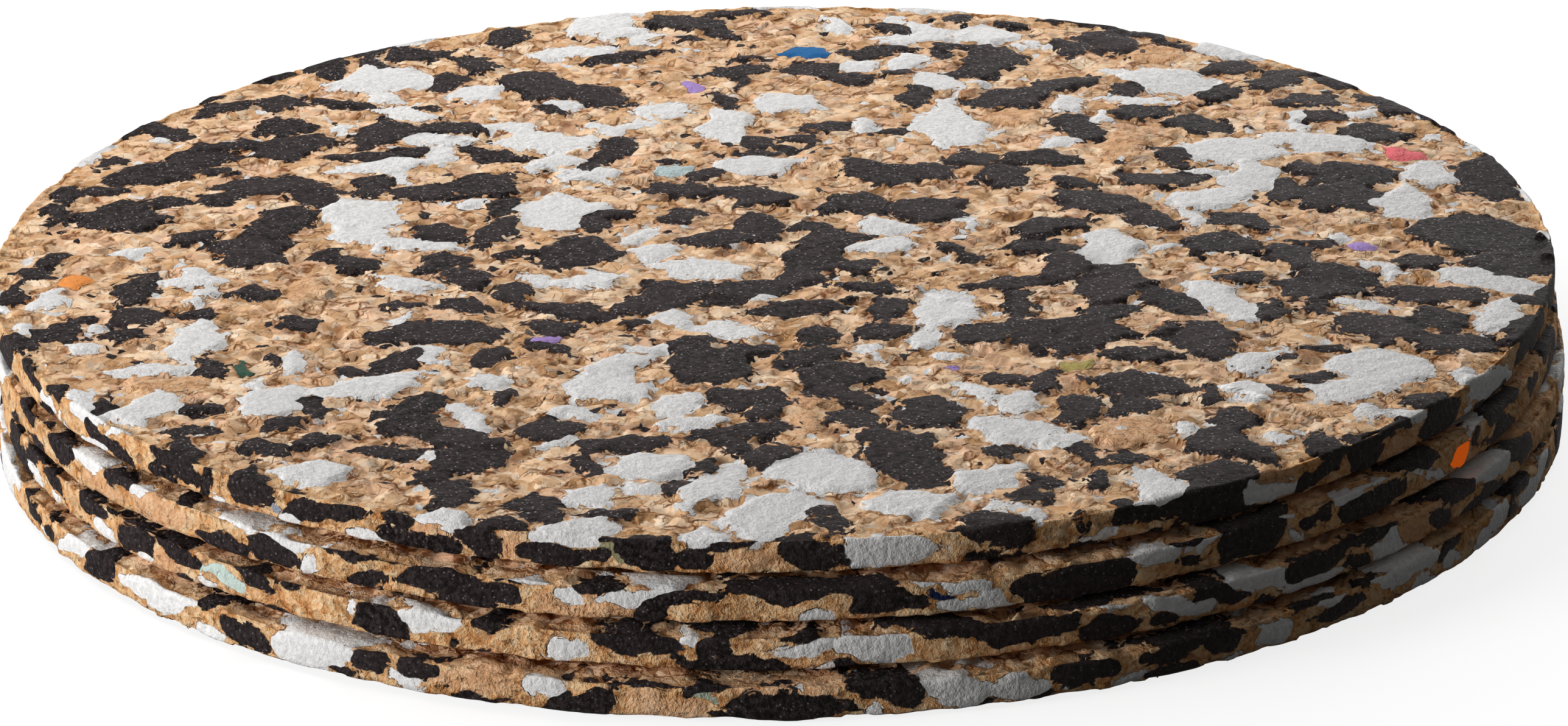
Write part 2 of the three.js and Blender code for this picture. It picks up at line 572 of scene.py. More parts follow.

# Cork on the sliced faces: flakes of many browns, some pinkish and some like straw, with painted shade in
# crevices, in patches along their seams, between granules and round chips.
pinkish, straw, crevice_shade_brown = (0.89, 0.54, 0.35, 1), (0.96, 0.79, 0.60, 1), (0.26, 0.095, 0.03, 1)
cork_tone = maths("MULTIPLY_ADD", shred["Red"], 0.24, maths("MULTIPLY", flake["Red"], 0.36))
cork_tone = maths("MULTIPLY_ADD", noise(1500.0, 4.0, 0.65), 0.4, cork_tone)
cork = colour_steps(
    cork_tone,
    (0.28, (0.72, 0.395, 0.185, 1)),
    (0.44, (0.84, 0.515, 0.285, 1)),
    (0.58, (0.91, 0.615, 0.38, 1)),
    (0.78, (0.96, 0.76, 0.55, 1)),
)
cork = mixed(ranged(flake["Blue"], 0.60, 0.90, 0.0, 0.60), cork, pinkish)
cork = mixed(ranged(shred["Blue"], 0.75, 0.95, 0.0, 0.60), cork, straw)
patches = ranged(noise(800.0, 3.0, 0.6), 0.43, 0.60, 0.0, 1.0)
# Painted shade: seams, hollows between granules and the foot of the chips are darkened to crevice brown.
crevice_shade = maths("MULTIPLY", ranged(flake_seam, 0.0, 0.12, 1.0, 0.0), patches)
crevice_shade = maths("MAXIMUM", crevice_shade, maths("MULTIPLY", ranged(shred_seam, 0.0, 0.10, 0.5, 0.0), patches))
crevice_shade = maths("MAXIMUM", crevice_shade, ranged(lump, 0.66, 0.95, 0.0, 0.75))
crevice_shade = maths("MAXIMUM", crevice_shade, maths("MULTIPLY", ranged(torn_edge, 0.0, 0.13, 0.8, 0.0), patches))
cork = mixed(crevice_shade, cork, crevice_shade_brown)

# Cork where a blade planed it, on the cut rim and in smooth chunks: finer in grain, pitted, and redder,
# partly as painted shade, with painted shade darkening its pits and seams.
seam_shade_brown, pit_shade_brown = (0.30, 0.105, 0.028, 1), (0.27, 0.11, 0.035, 1)
chunk_brown = (0.88, 0.49, 0.275, 1)
grain = noise(2600.0, 4.0, 0.7)
pits = ranged(noise(1500.0, 4.0, 0.65), 0.33, 0.43, 1.0, 0.0)
rim_tone = maths("MULTIPLY_ADD", noise(900.0, 4.0, 0.65), 0.5, maths("MULTIPLY", shred["Red"], 0.15))
rim_tone = maths("MULTIPLY_ADD", grain, 0.75, rim_tone)
planed = colour_steps(
    rim_tone,
    (0.50, (0.54, 0.20, 0.052, 1)),
    (0.61, (0.81, 0.39, 0.145, 1)),
    (0.70, (0.92, 0.545, 0.26, 1)),
    (0.84, (0.97, 0.72, 0.44, 1)),
)
# Painted shade along the seams and in the pits of the planed cork.
planed = mixed(maths("MULTIPLY", crevice_shade, 0.55), planed, seam_shade_brown)
planed = mixed(maths("MULTIPLY", is_tan, 0.6), planed, chunk_brown)
planed = mixed(maths("MULTIPLY", pits, ranged(is_tan, 0.0, 1.0, 0.65, 0.30)), planed, pit_shade_brown)
cork = mixed(smooth_cork, cork, planed)

# Black foam: open cells in grit of two blacks, some chips paler, and pale specks; on the cut rim, painted
# shade makes it darker and its specks fewer.
soot, dusty_black, pale_speck = (0.004, 0.003, 0.003, 1), (0.060, 0.045, 0.045, 1), (0.45, 0.40, 0.40, 1)
paler_black, rim_shade_black = (0.052, 0.039, 0.039, 1), (0.008, 0.005, 0.005, 1)
speck = put("ShaderNodeTexVoronoi", {"Vector": where, "Scale": 4600.0})
speck_pick = put("ShaderNodeSeparateColor", {"Color": speck.outputs["Color"]}).outputs["Green"]
speck_size = ranged(speck.outputs["Distance"], 0.12, 0.42, 1.0, 0.0)
speck_spot = maths("MULTIPLY", speck_size, ranged(speck_pick, 0.60, 1.0, 0.0, 1.0))
# Painted shade: fewer pale specks on the cut rim.
speck_spot = maths("MULTIPLY", speck_spot, ranged(cut, 0.0, 1.0, 1.0, 0.35))
grit = ranged(noise(2800.0, 4.0, 0.75), 0.40, 0.63, 0.0, 1.0)
charcoal = mixed(grit, soot, dusty_black)
charcoal = mixed(maths("MULTIPLY", stored("black_tone"), 0.35), charcoal, paler_black)
# Painted shade: the cut rim's black is darker.
charcoal = mixed(maths("MULTIPLY", cut, 0.3), charcoal, rim_shade_black)
charcoal = mixed(speck_spot, charcoal, pale_speck)

# White foam: warm white with fine pores, some chips greyer. The flecks have the colour that they store.
pore, warm_white, greyer_white = (0.73, 0.715, 0.695, 1), (0.96, 0.945, 0.93, 1), (0.74, 0.735, 0.74, 1)
felt = ranged(noise(3200.0, 4.0, 0.7), 0.34, 0.66, 0.0, 1.0)
pale = mixed(felt, pore, warm_white)
pale = mixed(maths("MULTIPLY", stored("white_tone"), 0.35), pale, greyer_white)

foam = mixed(is_white, charcoal, pale)
foam = mixed(is_fleck, foam, stored("fleck_tint_and_glow", "Color"))
colour = mixed(is_chip, cork, foam)

# Relief too fine for the mesh: leaning flakes, the planed grain and its pits, and the foams' cells.
flake_height = maths("MULTIPLY_ADD", flake_lean, 1500.0, maths("MULTIPLY", flake["Blue"], 0.40))
flake_height = maths("MULTIPLY_ADD", shred_lean, 1500.0, flake_height)
flake_height = maths("MULTIPLY_ADD", shred["Blue"], 0.25, flake_height)
flake_height = maths("MULTIPLY_ADD", crevice_shade, -0.4, flake_height)
planed_height = maths("MULTIPLY_ADD", shred_lean, 1200.0, maths("MULTIPLY", pits, -1.0))
planed_height = maths("MULTIPLY_ADD", grain, 2.4, planed_height)
planing = maths("MULTIPLY", smooth_cork, 0.65)
cork_height = between(planing, flake_height, planed_height)
dark_height = maths("MULTIPLY", noise(3000.0, 4.0, 0.65), 0.9)
pale_height = maths("MULTIPLY", noise(2400.0, 4.0, 0.65), 0.6)
foam_height = between(is_white, dark_height, pale_height)
height = between(is_chip, cork_height, foam_height)
bump = put("ShaderNodeBump", {"Height": height, "Strength": 0.9, "Distance": 0.0003})
# Painted glow: the orange fleck gives light of its own, as much as its stored alpha says.
painted_glow = maths("MULTIPLY", stored("fleck_tint_and_glow", "Alpha"), maths("MULTIPLY", is_fleck, is_chip))
skin = put(
    "ShaderNodeBsdfPrincipled",
    {
        "Base Color": colour,
        "Emission Color": stored("fleck_tint_and_glow", "Color"),
        "Emission Strength": painted_glow,
        "Roughness": ranged(is_chip, 0.0, 1.0, 0.90, 0.80),
        "Specular IOR Level": 0.05,
        "Normal": bump.outputs["Normal"],
    },
)
put("ShaderNodeOutputMaterial", {"Surface": skin.outputs["BSDF"]})

# Bottom coaster, the one on the table.
# A disc stamped out of the sheet like the others. The chips of its front rim lie where the photograph
# shows them, read off as bearing, height, length, width and tilt.
bottom_rim = {
    WHITE: [
        (198.4, 2, 3.2, 1, -10), (204.7, 1.1, 0.8, 0.5, 0), (211.2, 1.75, 4.8, 1.2, 14),
        (221.5, 1.5, 7.4, 1.8, 0), (227.6, 0.5, 3, 0.9, 5), (236.4, 1.45, 6, 2.2, 5),
        (244.2, 0.9, 2.7, 0.5, -12), (245, 0.2, 3.4, 0.4, 0), (253.9, 1.85, 2.1, 1.6, 0),
        (271.1, 2.4, 1.2, 0.6, -40), (275.7, 0.65, 1.4, 1.2, 0), (281.6, 1.5, 3.2, 2.1, -15),
        (285.2, 1.2, 5, 1, -3), (293.2, 0.5, 2.5, 0.8, 8), (298.3, 2.5, 1.4, 0.5, 0),
        (301.4, 0.4, 1.2, 0.6, 0), (305.1, 1.2, 3.8, 1.7, 8), (310.2, 2, 2.5, 0.7, 10),
        (318.5, 1.9, 6.5, 1.5, 0), (319.6, 0.5, 3.6, 0.7, 0), (323.4, 0.8, 2, 0.8, 0),
        (327.8, 0.85, 3.8, 1, 0), (330.5, 1.6, 3.8, 1.5, 0), (336.6, 1.2, 3.4, 1.4, 0),
        (340.4, 1.9, 3, 1.3, 0),
    ],
    BLACK: [
        (201.6, 2.4, 1.4, 0.8, 0), (203.3, 1.4, 2.6, 1.2, -8), (206.5, 1, 2, 0.8, 8),
        (206.8, 2.3, 1.4, 0.5, -20), (215, 1.5, 4.3, 1.8, 20), (221.3, 0.5, 1.4, 0.3, 0),
        (227.1, 2.1, 1.3, 0.6, 15), (231, 1.1, 4.6, 1.7, -10), (241.5, 1.75, 2.8, 1.7, 0),
        (245, 1.7, 2.6, 1.6, 5), (239.9, 0.5, 2.5, 0.5, -5), (246.5, 0.75, 1.3, 0.5, 0),
        (249.6, 0.35, 3.8, 0.6, 5), (256.4, 0.9, 4.6, 1.7, 10), (260.5, 2.4, 4.3, 0.7, 0),
        (264.6, 2.3, 3, 0.9, 0), (269.5, 0.9, 8, 1.7, 0), (270.2, 2.2, 1.3, 0.5, 0),
        (276.5, 2.1, 4.6, 1.4, 0), (278.5, 1.4, 2.6, 1.5, 0), (283.2, 0.55, 1.3, 0.6, 0),
        (287, 0.6, 2.2, 0.8, 8), (290.3, 1.4, 4.2, 1.7, 0), (294.6, 1.8, 1.1, 0.8, 0),
        (296.6, 2, 3.6, 1.4, 0), (297.2, 0.4, 3, 0.8, 0), (300.5, 1.6, 2.8, 1.5, -15),
        (308.4, 2.4, 3.6, 0.7, 0), (311, 1.1, 4.4, 1.3, 0), (313.6, 2.3, 2.2, 0.9, 0),
        (323.3, 1.65, 2.8, 0.8, 15), (333.4, 1, 2.2, 0.9, 0), (334.6, 2.1, 2.8, 1, 0),
        (341.8, 1.3, 2.2, 0.9, 0),
    ],
    TAN: [(249, 1.5, 5.2, 1.8, 0), (262, 0.9, 5, 1.7, 0), (270.2, 2.1, 6.5, 1.2, 0)],
}
bottom_flecks = [("rim", (264.3, 1.8, 2, 0.6, -10), (0.42, 0.46, 0.36))]
coaster("bottom_coaster", 41, bottom_rim, bottom_flecks)

# Lower coaster, loose on the bottom one and a little further back.
# It is held by its weight alone. Its front rim is read off the photograph in the same way.
lower_rim = {
    WHITE: [
        (202.6, 0.9, 3.2, 0.5, -12), (202.6, 0.2, 2.4, 0.6, 5), (207.6, 0.8, 1.9, 0.9, 15),
        (212.4, 2.25, 1.4, 0.4, 10), (215.2, 0.8, 2.5, 1.1, 0), (220.6, 0.3, 1.4, 0.6, 0),
        (226.3, 0.5, 1.4, 0.6, -20), (239.4, 1.6, 1, 1, 45), (241.4, 2.4, 1.1, 0.8, 0),
        (243.5, 1.6, 1.2, 0.9, 0), (245.8, 1.85, 4.2, 1.7, -5), (255.2, 1.15, 2.4, 1.3, 0),
        (263.6, 2.1, 1.4, 1.2, 0), (264.6, 2.5, 1.6, 0.4, 0), (271.8, 1.6, 4.6, 0.8, 8),
        (275.2, 1.5, 3.8, 1.9, -12), (272.2, 0.35, 2.4, 0.5, 5), (292, 2.35, 2.7, 0.6, -3),
        (297.9, 1.2, 5.4, 1, -18), (303.2, 1.9, 5.2, 1.7, -8), (307.8, 0.7, 4.3, 0.8, -3),
        (315.4, 1.2, 2.5, 1.5, 0), (329.8, 1.9, 6, 1.7, -6),
    ],
    BLACK: [
        (197, 1.7, 3.4, 1.4, 25), (203, 2.2, 3.6, 1.1, 0), (206.7, 1.75, 3.5, 1.2, -5),
        (201, 0.5, 2.8, 0.8, 15), (211.6, 0.55, 4.2, 0.7, 0), (213, 1.85, 4.6, 1.2, -3),
        (218.5, 2.5, 7, 0.5, 0), (219.2, 1.3, 4.6, 2.1, 0), (224, 2, 3.8, 1.2, -8),
        (224.8, 0.3, 2.4, 0.6, 0), (231.3, 2, 3.2, 1.3, -15), (232.6, 0.15, 4.8, 0.4, 3),
        (234.4, 2.2, 1.6, 0.6, 0), (241.8, 1.1, 3.6, 1.9, -8), (250.3, 2.1, 2.1, 1.2, 0),
        (249.7, 0.45, 1.3, 0.7, 25), (247.5, 0.6, 0.8, 0.9, -40), (260, 1.6, 5.2, 1.6, 0),
        (265.3, 1.65, 1.8, 1.1, 0), (265.3, 0.5, 6.4, 1, 0), (270.9, 2.3, 2.3, 0.8, 0),
        (274, 0.5, 1.5, 0.9, 0), (281.5, 2.1, 4, 1.1, 0), (285.8, 1.7, 7.5, 2, 0), (291.5, 0.9, 4, 1.9, 0),
        (295.8, 0.8, 1, 0.9, 0), (300.2, 1.6, 4, 1.5, -20), (308.4, 1.8, 5, 1.4, 5), (304, 0.3, 2, 0.8, 0),
        (313.4, 2.3, 6.6, 1, 0), (312.3, 0.5, 2.4, 1.1, -15), (321.6, 1, 2.4, 1, -25),
        (324.6, 2, 3.2, 1.4, 0), (328.5, 0.5, 4.4, 0.9, 0), (334.2, 1.4, 4.2, 1.8, -8),
    ],
    TAN: [(222.8, 1, 2.4, 1.8, 0), (320.5, 1.3, 8, 2, 0), (337.6, 1.2, 4.4, 1.4, 5)],
}
lower_flecks = [("rim", (228.8, 1.25, 4, 1.5, -3), (0.60, 0.72, 0.66))]
coaster("lower_coaster", 52, lower_rim, lower_flecks)

# Upper coaster, loose under the top one.
# It is held by its weight alone. Its front rim is read off the photograph in the same way.
upper_rim = {
    WHITE: [
        (213.8, 2.1, 3.8, 1.4, 0), (220, 2.1, 1.9, 1.2, 20), (222.6, 2.55, 1.6, 0.4, 5),
        (230.6, 2.35, 3.2, 0.8, 0), (235, 2.2, 4.4, 1.1, 0), (237, 0.9, 1.5, 1.2, 20),
        (253.4, 2.4, 3, 0.8, 0), (256.2, 1.75, 1.7, 0.9, -20), (262.3, 2.1, 3.6, 0.7, 12),
        (272.3, 0.5, 1.9, 0.8, 0), (279.3, 2.45, 2.8, 0.6, 0), (282.3, 2, 2.2, 0.7, -25),
        (282.6, 0.75, 5, 1, -5), (295.5, 2, 3.3, 1.4, -10), (299.8, 2.2, 1.9, 0.8, 25),
        (307.3, 0.8, 1.6, 0.8, 0), (307, 2.2, 1.2, 0.4, 0), (313.2, 2.35, 5.5, 1, 8),
        (321.3, 1, 4.6, 0.6, -18), (327.4, 2.35, 2.8, 0.9, 0),
    ],
    BLACK: [
        (199, 0.5, 2, 0.9, 25), (202.4, 2.1, 2.8, 1, -20), (204.7, 0.5, 3.3, 1.1, 0),
        (206, 2.45, 3, 0.6, 12), (209.6, 1.75, 3.6, 2, 0), (217.7, 2, 3, 1.7, 0),
        (225.2, 2.5, 1.7, 0.6, 0), (229.4, 0.7, 4, 1.2, -5), (233.9, 1.3, 3.8, 1.6, 0),
        (240.7, 2.25, 5.4, 0.8, 0), (241.2, 0.8, 2.6, 0.9, 18), (247, 1.6, 4.4, 2, 0),
        (250.5, 1.3, 3.4, 1.4, 0), (248.7, 0.5, 3, 1, 0), (244.6, 1.2, 1.8, 0.8, 0), (258.4, 2.2, 3, 1, 0),
        (261.3, 0.8, 1.8, 1.8, 15), (263.6, 1.6, 4.4, 0.9, 14), (273, 2.2, 7.5, 1.3, 0),
        (277.5, 1.3, 4.4, 1.4, 0), (290, 1.2, 9, 2.4, 0), (298.3, 2.4, 2.6, 0.7, 0),
        (298.5, 1.1, 1.6, 0.4, 0), (303.4, 1.4, 5, 2.5, 0), (309.3, 1.5, 2.2, 1, 0),
        (314.8, 1.1, 6, 1.9, 0), (320.6, 2.1, 3.2, 1.5, 0), (327.6, 1.4, 2, 0.8, 0),
        (332.8, 2.2, 6.2, 1.1, 0), (331.4, 0.6, 4.2, 1.1, 0), (339, 1.4, 2.4, 1.2, 0),
    ],
    TAN: [(215.5, 0.9, 5.5, 1.1, -4), (222.5, 1.2, 6.5, 1.6, 0), (256.5, 0.9, 5.5, 1.5, 0)],
}
upper_flecks = [
    ("rim", (325.2, 1.1, 2.6, 1.5, 0), (0.98, 0.15, 0.01)),
    ("rim", (281, 1.55, 2.2, 0.7, -8), (0.012, 0.020, 0.06)),
]
coaster("upper_coaster", 63, upper_rim, upper_flecks)

# Top coaster, the one seen whole.
# It lies loose on the others. Its face chips lie where the photograph shows them, read off as x,
# y, length, width and turn, and its front rim is read off like the others.
top_face = {
    WHITE: [
        (-12.2, 45.8, 6.4, 4.6, -55), (-8.8, 42.8, 3.2, 2.2, 60), (-14.3, 39.8, 5.8, 3.2, 8),
        (4.8, 45, 4.4, 2.2, -65), (-5.2, 40, 2.4, 0.8, -35), (-20.4, 41.6, 1.8, 1.2, 0),
        (8.8, 46, 2.4, 1.8, 0), (11.2, 43.2, 3.8, 3, -50), (9.6, 41.6, 6, 2, 0),
        (15.4, 42.2, 5.4, 4.2, -45), (18.5, 40, 2.2, 1.6, 0), (32.4, 37.2, 6, 3, -35),
        (24, 33.2, 2.6, 1.8, -50), (27.6, 31.2, 5.8, 5, -50), (9.6, 36.5, 3.9, 3, 70),
        (6, 35.6, 3.2, 2.4, -30), (44.4, 22.6, 3.4, 1.2, -50), (-27, 34, 7.4, 5.2, 30),
        (-26.7, 30.4, 2.5, 2, 0), (-20.5, 31.1, 4.3, 3.6, -20), (-14.2, 28.1, 2.9, 2.4, -20),
        (-24.9, 26.9, 4.6, 3, -50), (-29.2, 24, 2.2, 1.4, 60), (-41.5, 22.4, 2.2, 0.9, -30),
        (-17.7, 23.7, 4.4, 2.9, 0), (-14.9, 20.5, 6, 4.6, -10), (-21.9, 21.2, 6.2, 3, -15),
        (-22.2, 18.5, 4, 2.2, 80), (-26, 16, 6.8, 2.8, 15), (-24.6, 13.6, 2.5, 1.3, 70),
        (-15, 15.9, 6, 2.4, 25), (-13, 13.4, 3.6, 2.2, -25), (-10.8, 13.9, 3.2, 2.4, -40),
        (-26.8, 6.7, 8, 5.6, 110), (-26.7, 2.7, 4.6, 3.2, -10), (-22.8, 0.6, 6.4, 2.4, -12),
        (-14.2, 6.6, 7, 5, 75), (-40.9, 0.4, 2.4, 1.4, 30), (-19.6, 8.5, 2, 1.3, 60),
        (-7.1, 26.6, 4.8, 3.8, -10), (-9.2, 23.8, 2.4, 2, 0), (-2.9, 22.8, 7.6, 3.8, 95),
        (1, 27.8, 5, 4, -20), (-11.2, 22.8, 4.2, 2, -70), (11.7, 31.6, 5.6, 3, -65),
        (14.3, 31.2, 2.2, 1.6, 0), (11.8, 22, 8, 5.4, 110), (12.1, 26.7, 3.4, 2.2, 80),
        (15.3, 20.8, 2.4, 1.2, 20), (20.5, 26.8, 3.6, 2.8, -60), (24.8, 27, 6.5, 1.6, -20),
        (22.6, 24.2, 3, 1.2, 80), (6.4, 23, 3.6, 2, 70), (19.5, 18.8, 3.4, 2, 45),
        (-0.8, 14.8, 5.8, 4, 12), (7.6, 2.3, 4.4, 2.6, -25), (7.2, -1.2, 4.4, 3.2, 15),
        (12.8, 2.6, 2.6, 1.2, -65), (-8.6, 1.6, 3.8, 2.2, 60), (-7.6, -1.6, 3.6, 3, -20),
        (-4.8, -4.9, 6.4, 2.8, -15), (-11.6, -6.8, 5.2, 3, 20), (-14.7, -6.3, 3.6, 1.8, -60),
        (-0.4, -10.4, 1.8, 1.2, 0), (31.2, 16.2, 8, 5.2, -10), (36.6, 17.4, 7.4, 3.4, -25),
        (31.4, 10.8, 5.8, 4.2, 80), (28.4, 12, 3, 1.8, 20), (28.6, 6.9, 6.2, 4.6, 30),
        (27.2, 3, 4.2, 1.4, -70), (21.5, -2.3, 6.8, 4, 85), (25.1, -1.9, 2.2, 1.6, 30),
        (43.3, 11.2, 5.4, 3.6, -75), (41, 5.3, 6.6, 3.8, 85), (44.5, 18, 2.6, 1.4, 70),
        (40.2, 23.6, 3, 1.8, 10), (35.7, 22.2, 5, 1.4, 85), (36.3, -0.9, 2.4, 1.6, -60),
        (49.6, -1.6, 3, 1.4, 80), (38.9, -7, 4, 1.4, -60), (10.8, -13.3, 7.4, 4.2, 85),
        (9.1, -18.2, 3.2, 2, 65), (27.8, -12, 8.6, 3.2, -60), (44.8, -9.5, 8, 3.4, -30),
        (45, -15.5, 6.6, 3, 70), (37, -13.6, 4.4, 1.8, -25), (36.8, -23.9, 7.2, 5.6, -35),
        (34.6, -28, 5.2, 3.8, 20), (28.3, -27.6, 4.2, 2.8, -70), (29, -22.8, 5.6, 2.4, 55),
        (14.8, -29, 4.6, 3.2, 75), (14.3, -33.4, 5.2, 4, -10), (17, -35.3, 3.6, 2.2, -20),
        (12, -27, 5.4, 1.9, -50), (24.3, -33.8, 2.6, 1.4, -80), (29.8, -35.6, 3, 1.8, 60),
        (35.3, -31.5, 3, 2, 80), (37.5, -32, 2.6, 2, 0), (41.8, -25.8, 3, 1.4, 60),
        (13.4, -39.5, 3, 2.6, 0), (22, -42.3, 5.4, 2.8, -65), (12, -41.5, 4.8, 3.6, 20),
        (13.8, -45.5, 5, 2.2, -45), (6, -19.8, 2.8, 1.8, -50), (10.7, -20.9, 2.4, 1.6, 0),
        (-6, -13.8, 3.6, 2.2, -40), (-2.8, -16, 4.8, 3.2, -55), (-7.6, -19, 3.2, 2.2, 50),
        (-9.8, -21.6, 5, 2.8, 15), (-10.2, -25.3, 6, 5, 0), (-12, -29.3, 3.6, 2.2, -10),
        (-17.2, -23.8, 3.8, 1.8, 5), (-18, -30.5, 7, 1.6, -75), (-12.9, -34.2, 3.8, 1.6, 32),
        (-5.8, -28.3, 4.6, 3, 60), (-5, -31.3, 5, 1.8, 20), (-7.5, -38, 5.4, 4.6, -10),
        (-3.6, -41, 9, 3.4, 68), (2.5, -39.4, 7.2, 5.4, -35), (-0.3, -45.6, 7.6, 4.2, 60),
        (7.5, -44.6, 5, 3.8, 0), (-10.5, -42.7, 3, 2.6, 0), (-7.9, -41.7, 2.6, 1.6, 0),
        (-11.5, -47.6, 5.2, 3.2, 10), (-4, -49, 2.6, 2, 0), (-19, -45.6, 3, 2.6, 0),
        (-36.9, -5.2, 4.6, 3.2, -20), (-36.2, -8.2, 3.4, 1.4, 65), (-45.8, -8.6, 4.6, 2.2, 80),
        (-23.4, -6.8, 4.6, 2.4, -40), (-35.8, -16.3, 7, 3.8, 80), (-29.4, -19.8, 5.6, 1.5, 95),
        (-21.2, -19.2, 4, 1.6, -60), (-38, -20.9, 4.8, 1.7, 10), (-37.8, -27.3, 5.4, 4.2, 60),
        (-30.1, -26.6, 6.8, 3.6, 75), (-25.2, -24.9, 7, 3.6, 22), (-31.4, -23.8, 2.2, 1.2, -40),
        (-46.8, -13.3, 3.6, 1.4, 85), (-42.6, -17.2, 2, 1.8, 0), (-42, -14, 1.8, 1.6, 0),
        (-42.2, -25, 2.6, 1.6, -60), (-41.5, -28, 4, 1.2, -65), (-22.9, -12.3, 3.6, 0.8, 75),
        (-27.2, -38.2, 4.4, 3.2, 20), (-20.2, -36, 1.4, 1.2, 0),
    ],
    BLACK: [
        (-31, 38.2, 4.6, 3, 60), (-27.9, 37.7, 4.6, 2, -75), (-24.6, 39.6, 5, 2.6, -5),
        (-20.8, 37.6, 5.2, 3, -50), (-22.3, 33.9, 3.4, 2.4, 70), (-16.2, 32.8, 7, 5.4, -50),
        (-11.8, 30.1, 5.8, 3.3, -57), (-18.8, 43.3, 4.8, 3, 60), (-6, 46.6, 5.6, 3.8, -10),
        (-2.4, 48.2, 4.4, 1.4, -3), (-3.6, 43.8, 3, 2, -60), (-6.2, 42.5, 2.8, 1, -8),
        (-10, 38.8, 7, 2, 25), (-1.5, 37.9, 2, 1.6, 0), (-2.4, 34.8, 5.4, 2.8, 20), (3, 35, 4.6, 3, 10),
        (5, 33.2, 5, 2.4, -15), (7.6, 39, 5.4, 2.8, 10), (-34, 29.2, 4.2, 3.2, 80),
        (-38, 28.5, 4.6, 2, 30), (-29.4, 29.2, 5.8, 1.6, -22), (-33.2, 25, 4.2, 3.6, -60),
        (-41.1, 24, 4.4, 2.2, -50), (-26.2, 22.8, 5.4, 4.6, 40), (-21.5, 23.6, 5, 3.2, -10),
        (-23.5, 27.8, 1.8, 1.4, 0), (-37.2, 20.8, 5.4, 2.6, 25), (-32, 21.2, 6.2, 3.6, 0),
        (-33, 19, 3.4, 2.6, 0), (-27.2, 18, 6.8, 2, -8), (-24.2, 19.2, 2.8, 1.8, 0),
        (-18.8, 18.3, 5.4, 1.8, -25), (-38.3, 18.4, 4.8, 3.6, -20), (-41.5, 15.2, 7.2, 4.6, 15),
        (-37.2, 15.6, 2.6, 2, 0), (-44.2, 18.2, 2.2, 1.8, 0), (-32.8, 12.8, 6.6, 4.2, -20),
        (-29.7, 10.5, 4.2, 3, -60), (-26.2, 12.5, 4.8, 2.6, 85), (-23.2, 10.7, 4.6, 3.6, 0),
        (-19, 12, 5.2, 5, -40), (-46.8, 9.5, 8.4, 1.8, 85), (-44.4, 12.3, 3, 2.2, 0),
        (-43, 7, 6.6, 5.4, -50), (-40.2, 9.7, 3, 2.4, 0), (-36.2, 10, 3.2, 2.6, 0), (-32, 5, 7, 4.2, 60),
        (-37.3, 3, 4.2, 2.6, 20), (-34, 0.8, 6, 3.2, 5), (-17.2, 7.8, 3.8, 2, 75),
        (-21.2, 2.6, 4, 2.6, -40), (-17.8, 3.2, 5.6, 2.4, 65), (-12, 15.2, 3.2, 1.8, 80),
        (-10.6, 19, 4.2, 2.8, 85), (-14.6, 27.2, 2.6, 1.4, -45), (-10.5, 5.9, 3.4, 2.2, 20),
        (-11.8, 3.6, 3.6, 2.2, 60), (-12.9, -1.6, 5.4, 5, 40), (15.6, 37, 5.2, 4.6, -20),
        (14.2, 34, 5.4, 3, 15), (8.8, 34.2, 2.4, 1.6, 0), (12.2, 37.5, 2.8, 1.7, -65),
        (12.6, 39.6, 3.4, 1.6, 0), (21, 38.8, 4.2, 2.4, -75), (24, 40, 6.6, 3.2, -75),
        (26.4, 41.4, 4.6, 1.8, -28), (28.6, 39.2, 2, 1.4, -50), (8.4, 44.2, 4.2, 1.6, -50),
        (13.4, 46, 2.4, 1.8, 20), (17.2, 44.6, 3.2, 1.6, -30), (19.8, 30.8, 7.6, 3.2, 28),
        (16, 27.6, 5.8, 4.6, 30), (24.6, 29.3, 3.4, 2.4, 70), (9.8, 29, 5.2, 2, 85),
        (-3.2, 28.6, 4, 1, -75), (-2.1, 32.6, 2.4, 1, 70), (4, 22.8, 3.8, 2.4, 30),
        (1.8, 20.2, 3.6, 2.6, -50), (-1.2, 19.6, 2.8, 2.6, 0), (8, 21.6, 2.4, 1.2, 10),
        (20.8, 21.9, 6.2, 3, -75), (25.4, 24.4, 4.8, 3.4, -10), (29, 21.8, 5.2, 3.8, -15),
        (31.8, 33.6, 4, 2.8, 20), (35.2, 31.4, 7, 3.8, 50), (30.4, 28.2, 4.8, 3, 40),
        (38.8, 30.6, 3.4, 1.6, -45), (42, 25.6, 5.8, 2.4, -55), (37, 26.4, 5.4, 3.2, -20),
        (37.7, 23.3, 3.2, 2.9, 0), (-0.8, 17.3, 3.2, 1.6, 20), (5.2, 17, 3.2, 0.9, 85),
        (7, 13, 5.8, 5, -15), (10.6, 13.2, 3.6, 2.4, -60), (13.3, 15.2, 3.8, 3, -35),
        (17.5, 15.3, 5.2, 3.2, 10), (15.2, 12.1, 4, 3.3, -60), (-4.4, 13.5, 3.1, 2.1, 40),
        (-5.9, 10.2, 5.6, 3.4, -17), (-0.8, 8.9, 5.3, 4.3, -50), (5.5, 7.1, 5.1, 4.3, -40),
        (10.1, 5.5, 5.3, 4.4, -20), (-5.5, 5.4, 3.7, 2.9, 5), (-0.8, 3.2, 6, 2.7, -80),
        (-3.5, 0.6, 4.8, 3.6, 0), (2.6, 2.4, 3.2, 2.4, -50), (4.2, 1, 4.6, 2.2, -15),
        (2.8, -2.6, 8.4, 4, 70), (1.6, -6.6, 4.4, 2.6, 60), (5.7, -4.9, 3.8, 2.4, -10),
        (-6.4, -9.6, 6.8, 4.6, 30), (-1.6, -9, 5.6, 3.8, 20), (6.6, -8.8, 4.6, 2.4, -15),
